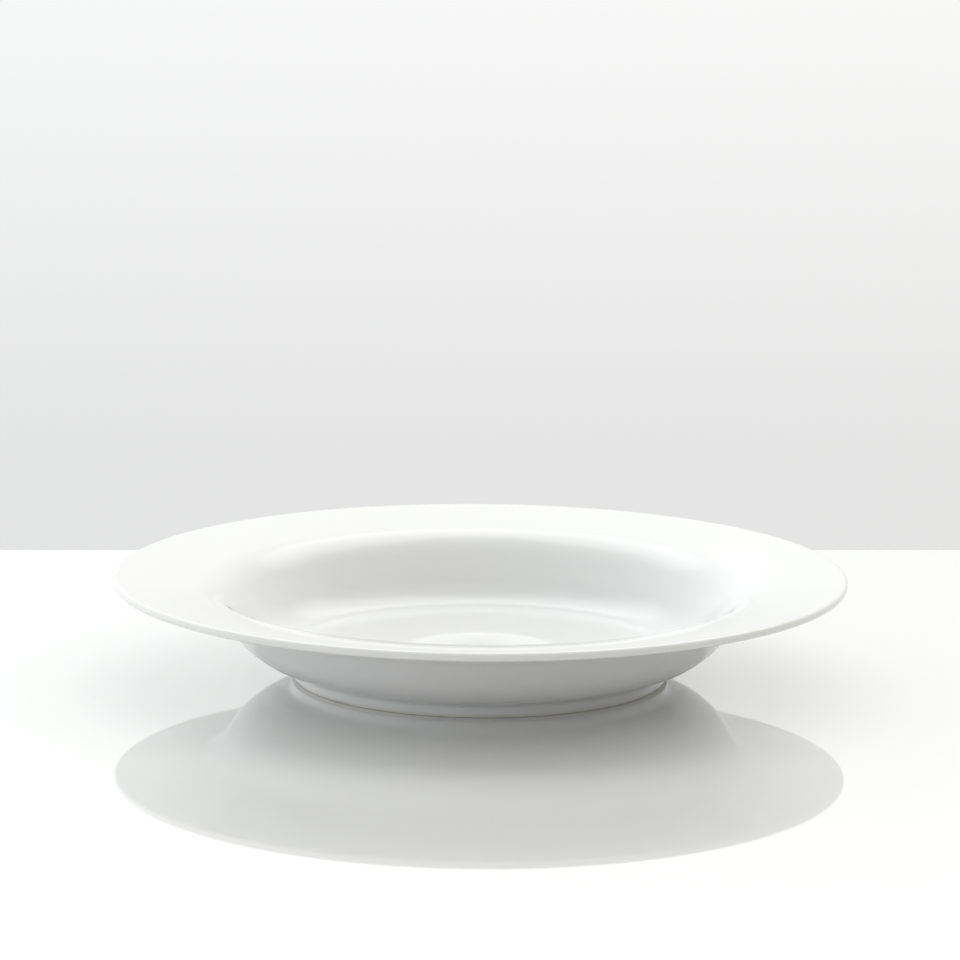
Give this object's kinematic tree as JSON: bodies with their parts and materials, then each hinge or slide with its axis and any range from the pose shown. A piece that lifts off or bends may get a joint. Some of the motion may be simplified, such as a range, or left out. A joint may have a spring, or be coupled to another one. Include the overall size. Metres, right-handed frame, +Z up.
{
  "type": "rimmed soup plate",
  "caption": "Round soup plate with a deep flat-floored well, a broad gently rising rim and a foot ring, in plain white glazed porcelain.",
  "frame": {"origin": "middle of the foot ring, on the surface that the plate stands on", "axes": "+Z up along the axis of the plate; X and Y lie in the surface it stands on, and any turn about Z is the same"},
  "size_m": [0.24, 0.24, 0.0342],
  "materials": {
    "bare_porcelain": "fine matt, unglazed",
    "white_glaze": "smooth high gloss"
  },
  "bodies": {
    "root": {"porcelain_body": "bare_porcelain", "glaze_coat": "white_glaze", "base_glaze": "white_glaze"}
  },
  "joints": []
}
